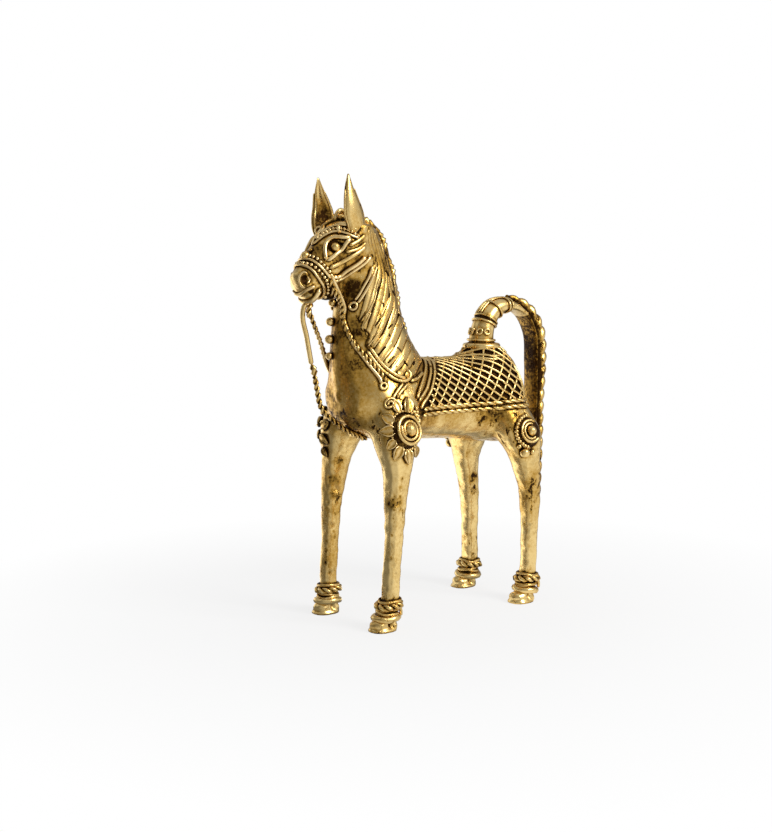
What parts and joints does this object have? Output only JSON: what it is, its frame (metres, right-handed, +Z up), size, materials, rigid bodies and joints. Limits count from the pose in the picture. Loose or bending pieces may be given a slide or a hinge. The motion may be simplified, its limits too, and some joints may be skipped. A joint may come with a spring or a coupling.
{
  "type": "horse figurine",
  "caption": "Standing horse figurine in cast brass with bridle, reins, swept mane, netted saddle cloth, rosettes, ringed ankles and an arched plaited tail; stands on a shelf as an ornament.",
  "frame": {"origin": "middle of the whole figure's footprint box, on the surface that it stands on", "axes": "+Z up, -Y the way the horse faces, +X its left side"},
  "size_m": [0.0524, 0.134, 0.175],
  "materials": {
    "brass": "worn cast brass, bright on the high spots",
    "dark_brass": "cast brass with dark patina in its recesses",
    "clay": "fired clay core, matt"
  },
  "bodies": {
    "root": {"clay_core": "clay", "torso": "brass", "neck": "brass", "head": "brass", "front_leg_left": "brass", "front_leg_right": "brass", "hind_leg_left": "brass", "hind_leg_right": "brass", "front_hoof_left": "brass", "front_hoof_right": "brass", "hind_hoof_left": "brass", "hind_hoof_right": "brass", "front_anklet_left": "brass", "front_anklet_right": "brass", "hind_anklet_left": "brass", "hind_anklet_right": "brass", "ear_left": "brass", "ear_right": "brass", "forelock_knot": "brass", "eye_rim_left": "brass", "eye_rim_right": "brass", "eyeball_left": "brass", "eyeball_right": "brass", "mane_left": "brass", "mane_right": "brass", "crest_plait": "brass", "noseband": "brass", "browband": "brass", "cheek_strap_left": "brass", "cheek_strap_right": "brass", "throat_beads": "brass", "rein_left": "brass", "rein_right": "brass", "strap_rod": "brass", "strap_swivel": "brass", "strap_rope": "brass", "saddle_cloth": "dark_brass", "saddle_hem_left": "brass", "saddle_hem_right": "brass", "saddle_front_border": "brass", "saddle_lattice": "brass", "tail_collar": "dark_brass", "tail": "brass", "tail_plait": "brass", "shoulder_boss_left": "dark_brass", "shoulder_boss_right": "dark_brass", "shoulder_petals_left": "brass", "shoulder_petals_right": "brass", "haunch_boss_left": "dark_brass", "haunch_boss_right": "dark_brass", "haunch_petals_left": "brass", "haunch_petals_right": "brass"}
  },
  "joints": []
}
